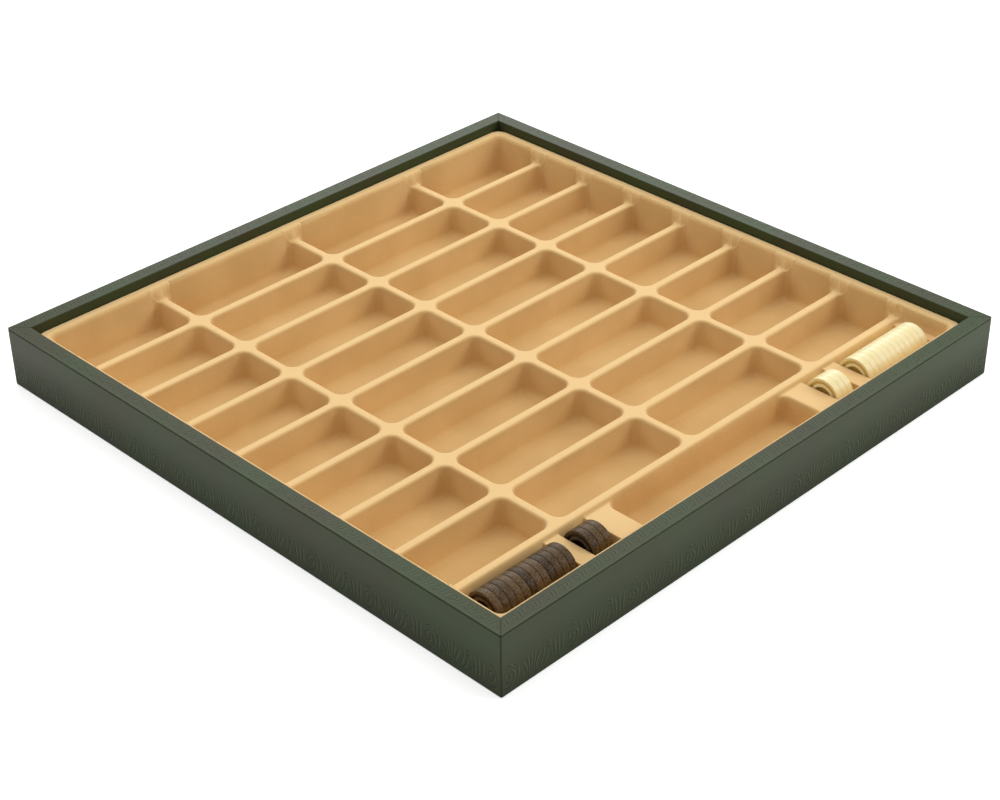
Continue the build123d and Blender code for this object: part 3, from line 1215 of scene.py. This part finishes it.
@dataclass
class LeatherStrip:
    """One leather strip along a side of the case, mitred at both ends, with its tooling pressed in.

    A point of the strip lies at s times its offset along the side, so s of 1 is the mitre. It moves out by
    the tooling and sinks at the mitre in a quarter circle, which leaves the fine dark line of a real corner.
    """

    name: str
    section: Section
    roll: ToolingRoll
    relief: float = 0.22
    # how much of the tooling goes into the colour: dye and painted shade in grooves, painted highlight on
    # lips
    tooling_tone_share: float = 0.8
    station: float = 0.45
    mitre_gap: float = 0.01
    mitre_round: float = 1.2
    mitre_sink: float = 0.3
    mitre_shade: float = 0.6
    shade_power: float = 1.5
    mitre_places: tuple[float, ...] = (0.0, 0.1, 0.25, 0.45, 0.7, 1.0, 1.4)
    run_start: float = 2.0
    plain_start: float = 1.5
    plain_end: float = 2.5
    roll_start: float = 0.0

    def build(self, side: Side, finish: Material) -> Object:
        """Makes the strip on one side.

        Args:
            side: The side.
            finish: Its leather.

        Returns:
            The object.
        """
        section = self.section
        reach = float(section.offset.max())
        near_end = reach - np.array(self.mitre_places)
        run_end = reach - self.run_start
        run = np.linspace(-run_end, run_end, int(2 * run_end / self.station))
        s = np.concatenate([-near_end, run, near_end[::-1]]) / reach
        out, up = section.directions()
        along = s[:, None] * section.offset[None, :]
        to_mitre = (1.0 - np.abs(s))[:, None] * section.offset[None, :]
        across = np.broadcast_to(section.across, along.shape)
        tooling = self.roll.read(along + reach + self.roll_start, across)
        tooling = tooling * smoothstep((to_mitre - self.plain_start) / self.plain_end)
        left = np.clip(1.0 - to_mitre / self.mitre_round, 0.0, 1.0)
        sink = self.mitre_sink * (1.0 - np.sqrt(1.0 - left**2)) * section.shown
        move = self.relief * tooling - sink
        offset = section.offset + out * move
        x = s[:, None] * (offset - self.mitre_gap)
        z = section.height + up * move
        turn = math.radians(side.value)
        placed_x = x * math.cos(turn) + offset * math.sin(turn)
        placed_y = x * math.sin(turn) - offset * math.cos(turn)
        vertices = np.stack([placed_x, placed_y, z], axis=2).reshape(-1, 3)
        # colour attribute: dye and painted shade in grooves, painted highlight on lips, painted seam shade,
        # lip highlight and mitre shade
        tone = self.tooling_tone_share * tooling + section.tone
        tone = tone + (-self.mitre_shade - tone) * left**self.shade_power * section.shown
        name = f"{self.name}_{side.name.lower()}"
        piece = mesh_object(name, vertices, capped_tube(*along.shape), {"tooling": tone})
        piece.data.materials.append(finish)
        return piece


@dataclass
class LeatherCase:
    """The case's leather: tooled sides turned in under the rails, and a tooled strip over the rim."""

    finish: Material
    thickness: float = 0.8
    seam_width: float = 0.7
    seam_depth: float = 0.4
    seam_shade: float = 0.5
    foot_round: float = 1.0
    top_round: float = 0.35
    rim_round: float = 0.7
    margin: float = 0.16
    # painted highlight on the rim strip's rounded outer lip
    lip_highlight: float = 0.2
    lip_width: float = 1.0
    shade_height: float = 0.3
    band_foot: float = 3.2
    band_top: float = 24.0
    plain_from: float = 34.0
    inner_step: float = 38.0
    rim_band_start: float = 1.4
    fine: float = 0.45

    def __post_init__(self) -> None:
        """Takes the strips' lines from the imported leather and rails."""
        low, high = node_box("side_leather_front")
        rim_low, rim_high = node_box("rim_leather_front")
        self.outer = float(-low[1])
        self.inner = float(-rim_high[1])
        self.turned_in = float(-high[1])
        self.top = float(rim_high[2])
        self.rim_foot = float(rim_low[2])

    def tooled_run(self, start: Pair, end: Pair) -> Array:
        """Gives points along a straight part of a section, as fine as the tooling needs."""
        length = math.hypot(end[0] - start[0], end[1] - start[1])
        share = np.linspace(0.0, 1.0, int(length / self.fine) + 1)[:, None]
        return np.array(start) + share * (np.array(end) - np.array(start))

    def side_section(self) -> Section:
        """Makes the side leather's outline: up the face, in under the rim and back round under the rail."""
        face = self.outer - self.margin
        back = self.outer - self.thickness
        under_rim = self.top - self.thickness
        brow = under_rim - self.seam_width
        deep = face - self.seam_depth
        r = self.foot_round
        front = np.concatenate([
            arc((face - r, r), r, -90.0, 0.0, 5),
            self.tooled_run((face, r + 0.3), (face, self.band_top)),
            [(face, self.plain_from), (face, brow - self.top_round - 0.4)],
            arc((face - self.top_round, brow - self.top_round), self.top_round, 0.0, 90.0, 3),
            [(deep, brow + 0.1), (deep, under_rim)],
        ])
        turned_in = [(self.turned_in, self.thickness), (self.turned_in, 0.0)]
        rear = np.array([(back, under_rim), (back, self.thickness), *turned_in])
        points = np.concatenate([front, rear])
        shown = np.concatenate([np.ones(len(front)), np.zeros(len(rear))])
        on_face = np.abs(points[:, 0] - face) < TOUCH
        across = np.where(on_face, points[:, 1] - self.band_foot, -1.0)
        shade = smoothstep((points[:, 1] - brow + self.shade_height) / self.shade_height)
        return Section(points[:, 0], points[:, 1], shown, across, -self.seam_shade * shade)

    def rim_section(self) -> Section:
        """Makes the rim strip's outline: over the top, down the inner wall and back up behind it."""
        level = self.top - self.margin
        lip = self.outer - self.margin
        under = self.top - self.thickness
        behind = self.inner + self.thickness
        r = self.rim_round
        front = np.concatenate([
            [(lip, under), (lip, level - self.top_round - 0.05)],
            arc((lip - self.top_round, level - self.top_round), self.top_round, 0.0, 90.0, 3),
            self.tooled_run((self.outer - self.lip_width + 0.1, level), (self.inner + r + 0.2, level)),
            arc((self.inner + r, level - r), r, 90.0, 180.0, 4),
            [(self.inner, self.inner_step), (self.inner, self.rim_foot)],
        ])
        rear = np.array([(behind, self.rim_foot), (behind, under)])
        points = np.concatenate([front, rear])
        shown = np.concatenate([np.ones(len(front)), np.zeros(len(rear))])
        on_top = np.abs(points[:, 1] - level) < TOUCH
        across = np.where(on_top, self.outer - points[:, 0] - self.rim_band_start, -1.0)
        # painted highlight on the rim strip's outer lip
        highlit_lip = (points[:, 0] > self.outer - self.lip_width) & (points[:, 1] > under + 0.05)
        return Section(points[:, 0], points[:, 1], shown, across, self.lip_highlight * highlit_lip)

    def build(self) -> list[Object]:
        """Makes all eight strips and puts them on the case."""
        sides = LeatherStrip("tooled_side", self.side_section(), palmette_band(), roll_start=38.5)
        strips = {
            "side_leather": sides,
            "rim_leather": LeatherStrip(
                "tooled_rim",
                self.rim_section(),
                leaf_border(),
                relief=0.12,
                tooling_tone_share=0.3,
                mitre_round=0.7,
                mitre_sink=0.15,
                mitre_shade=0.2,
            ),
        }
        pieces = []
        for node, strip in strips.items():
            for side in Side:
                piece = strip.build(side, self.finish)
                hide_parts(f"{node}_{side.name.lower()}")
                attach(piece, "case")
                pieces.append(piece)
        return pieces


# The counters

@dataclass
class TurnedCounter:
    """A draughts counter turned on a lathe: a thin rim, a broad cove, a raised bead and a deep middle."""

    rim_width: float = 0.9
    cove_width: float = 2.7
    cove_depth: float = 0.95
    bead_rise: float = 1.4
    bead_width: float = 1.0
    bead_drop: float = 0.12
    hollow_slope: float = 1.5
    hollow_depth: float = 1.8
    edge_radius: float = 0.45
    first_ring: float = 0.3
    ring_counts: tuple[int, ...] = (1, 5, 2, 4, 6)
    segments: int = 64

    def face(self, radius: Array, outer: float) -> Array:
        """Gives how far the face lies below its rim: smooth steps down a cove, up a bead and down a hollow.

        Args:
            radius: The distances from the axis.
            outer: The counter's radius.

        Returns:
            The depths.
        """
        in_from_rim = outer - self.rim_width - radius
        cove = smoothstep(in_from_rim / self.cove_width)
        past_cove = in_from_rim - self.cove_width
        bead = smoothstep(past_cove / self.bead_rise)
        hollow = smoothstep((past_cove - self.bead_rise - self.bead_width) / self.hollow_slope)
        rise = self.cove_depth - self.bead_drop
        return self.cove_depth * cove - rise * bead + (self.hollow_depth - self.bead_drop) * hollow

    def outline(self, outer: float, half: float) -> tuple[Array, Array]:
        """Gives the section's outline from the axis over one face, round the edge and back under the other.

        Args:
            outer: The counter's radius.
            half: Half its thickness.

        Returns:
            The radii and the places along the axis.
        """
        edge = self.edge_radius
        steps = np.array([self.hollow_slope, self.bead_width, self.bead_rise, self.cove_width])
        ends = outer - self.rim_width - np.cumsum(steps[::-1])[::-1]
        borders = [self.first_ring, *ends, outer - self.rim_width]
        spans = zip(borders[:-1], borders[1:], self.ring_counts)
        rings = [np.linspace(low, high, count + 1)[:-1] for low, high, count in spans]
        across = np.concatenate([*rings, borders[-1:]])
        turn = np.linspace(math.pi / 2, 0.0, 4)
        radius = np.concatenate([across, outer - edge + edge * np.cos(turn)])
        along = np.concatenate([half - self.face(across, outer), half - edge + edge * np.sin(turn)])
        return np.concatenate([radius, radius[::-1]]), np.concatenate([along, -along[::-1]])

    def build(self, node: str, finish: Material, tone: float, slot: str) -> Object:
        """Makes one counter in its node's place, with its axis along X.

        Args:
            node: The CAD node.
            finish: Its wood.
            tone: How dark it is among its set, from 0 to 1.
            slot: A material slot's name; not used.

        Returns:
            The object.
        """
        low, high = node_box(node)
        centre = (low + high) / 2
        outer = float(high[2] - low[2]) / 2
        radius, along = self.outline(outer, float(high[0] - low[0]) / 2)
        angle = np.arange(self.segments) * 2 * math.pi / self.segments
        x = np.broadcast_to(along[:, None], (len(along), self.segments))
        y = radius[:, None] * np.cos(angle)[None, :]
        z = radius[:, None] * np.sin(angle)[None, :]
        vertices = np.stack([x, y, z], axis=2).reshape(-1, 3) + centre
        faces = capped_tube(len(radius), self.segments)
        # how much painted shade the face gets, by how deep it lies inside the rim
        depth = self.face(radius, outer) / self.cove_depth * (radius < outer - self.rim_width)
        attributes = {
            "tone": np.full(len(vertices), tone),
            "depth": np.repeat(smoothstep(depth), self.segments),
        }
        piece = mesh_object(f"turned_{node}", vertices, faces, attributes)
        piece.data.materials.append(finish)
        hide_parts(node)
        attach(piece, node)
        return piece


@dataclass
class CounterSet:
    """The 30 counters, 15 of each colour."""

    finishes: dict[CounterColour, Material]
    count: int = 15

    def build(self) -> list[Object]:
        """Makes every counter, each with its own tone."""
        rng = np.random.default_rng(SEED)
        shapes = {CounterColour.DARK: TurnedCounter(), CounterColour.PALE: TurnedCounter(edge_radius=0.16)}
        pieces = []
        for colour, shape in shapes.items():
            for k in range(1, self.count + 1):
                node = f"counter_{colour.value}_{k:02d}"
                slot = f"{colour.value}_counter_wood"
                pieces.append(shape.build(node, self.finishes[colour], float(rng.random()), slot))
        return pieces


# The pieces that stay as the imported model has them

def dress(material: Material, *nodes: str) -> None:
    """Gives CAD nodes a material.

    Args:
        material: The material.
        nodes: The nodes' names.
    """
    for name in nodes:
        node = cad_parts[name]
        node.data.materials.clear()
        node.data.materials.append(material)


# The stage

@dataclass
class Studio:
    """A white floor, large soft lamps on both sides and above, and the camera."""

    camera_place: Triple = (-0.89018, -0.89879, 0.79737)
    camera_turn: Triple = (57.1853, 0.6604, -45.1397)
    lens: float = 75.26
    floor_size: float = 12.0
    floor_drop_mm: float = 0.2
    floor_colour: str = "#E6E6E4"
    floor_glow: float = 0.6
    world_strength: float = 0.4

    def floor(self) -> None:
        """Makes the floor: white to the camera and to reflections, with the object's shadow kept."""
        half = self.floor_size * METRE / 2
        plan = ((-half, -half), (half, -half), (half, half), (-half, half))
        corners = np.array([(x, y, -self.floor_drop_mm) for x, y in plan])
        piece = mesh_object("floor", corners, [[0, 1, 2, 3]])
        material = bpy.data.materials.new("white_paper")
        material.use_nodes = True
        nodes = Nodes(material.node_tree)
        nodes.tree.nodes.clear()
        paper = nodes.add("ShaderNodeBsdfDiffuse", {"Color": linear(self.floor_colour)}).outputs[0]
        glow = nodes.add("ShaderNodeEmission", {"Color": WHITE, "Strength": self.floor_glow}).outputs[0]
        both = nodes.add("ShaderNodeAddShader", {0: paper, 1: glow}).outputs[0]
        rays = nodes.add("ShaderNodeLightPath").outputs
        seen = nodes.maths("MAXIMUM", rays["Is Camera Ray"], rays["Is Glossy Ray"])
        seen = nodes.maths("MAXIMUM", seen, rays["Is Transmission Ray"])
        surface = nodes.add("ShaderNodeMixShader", {0: seen, 1: paper, 2: both}).outputs[0]
        nodes.add("ShaderNodeOutputMaterial", {"Surface": surface})
        piece.data.materials.append(material)

    def lamp(self, name: str, place: Triple, size: Pair, watts: float) -> None:
        """Makes a rectangular soft lamp that looks at the middle of the case.

        Args:
            name: The lamp's name.
            place: Where it stands, in metres.
            size: Its width and height in metres.
            watts: Its power.
        """
        light = bpy.data.lights.new(name, "AREA")
        light.shape = "RECTANGLE"
        light.size, light.size_y = size
        light.energy = watts
        lamp = bpy.data.objects.new(name, light)
        lamp.location = place
        aim = -np.array(place)
        lamp.rotation_euler = (
            math.atan2(math.hypot(aim[0], aim[1]), -aim[2]),
            0.0,
            math.atan2(aim[1], aim[0]) - math.pi / 2,
        )
        bpy.context.scene.collection.objects.link(lamp)

    def light_world(self) -> None:
        """Makes the world: an even white, full for the camera and weaker as a light."""
        world = bpy.data.worlds.new("studio")
        world.use_nodes = True
        nodes = Nodes(world.node_tree)
        background = nodes.tree.nodes["Background"]
        background.inputs["Strength"].default_value = self.world_strength
        background.inputs["Color"].default_value = WHITE
        seen = nodes.add("ShaderNodeLightPath").outputs["Is Camera Ray"]
        strength = nodes.remapped(seen, onto=(self.world_strength, 1.0))
        nodes.tree.links.new(strength, background.inputs["Strength"])
        bpy.context.scene.world = world

    def place_camera(self) -> None:
        """Makes the camera that was fitted to the photograph's corner points."""
        camera_data = bpy.data.cameras.new("camera")
        camera_data.lens = self.lens
        camera = bpy.data.objects.new("camera", camera_data)
        camera.location = self.camera_place
        camera.rotation_euler = [math.radians(angle) for angle in self.camera_turn]
        bpy.context.scene.collection.objects.link(camera)
        bpy.context.scene.camera = camera

    def build(self) -> None:
        """Makes the floor, the light and the camera."""
        self.floor()
        self.lamp("left_softbox", (-1.9, 1.4, 1.5), (1.6, 1.2), 7.5)
        self.lamp("right_softbox", (1.6, -1.75, 1.4), (1.6, 1.2), 22.0)
        self.lamp("top_softbox", (0.3, 0.3, 2.2), (2.0, 2.0), 24.0)
        self.lamp("back_softbox", (1.9, 1.9, 1.5), (2.0, 1.2), 27.0)
        self.light_world()
        self.place_camera()
        bpy.context.scene.view_settings.view_transform = "Standard"


def main() -> None:
    """Builds the dressed case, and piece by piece."""
    logging.basicConfig(level=logging.INFO, format="%(message)s")
    leather = TooledLeather("green_tooled_cowhide", roughness=0.42, specular=0.19).build()
    flock = Flock("tan_rayon_flock", roughness=1.0, sheen=0.15).build()
    wood = PlanedWood("planed_softwood", roughness=0.6).build()
    steel = BrushedSteel("drawn_steel", roughness=0.32, metallic=1.0).build()
    cloth = LiningCloth("cotton_lining", roughness=0.95).build()
    pale = TurnedWood("turned_boxwood", roughness=0.34).build()
    dark = TurnedWood(
        "turned_stained_wood",
        roughness=0.42,
        specular=0.2,
        light="#6B5434",
        dark="#20140A",
        # painted shade in the faces' hollows
        recess_shade="#1E0F09",
        pore_mm=0.9,
        pore_depth_mm=0.05,
        stretch=2.0,
    ).build()
    tray = FlockedTray(flock).build()
    LOG.info("tray: %s, %d faces before its thickness", tray.name, len(tray.data.polygons))
    for piece in LeatherCase(leather).build():
        LOG.info("leather: %s, %d faces", piece.name, len(piece.data.polygons))
    for piece in CounterSet({CounterColour.PALE: pale, CounterColour.DARK: dark}).build():
        LOG.info("counter: %s, %d faces", piece.name, len(piece.data.polygons))
    dress(wood, "rail_front", "rail_right", "rail_back", "rail_left", "base_panel")
    dress(steel, "base_panel_pins", "corner_nails")
    dress(cloth, "underside_cover")
    Studio().build()


if __name__ == "__main__":
    main()
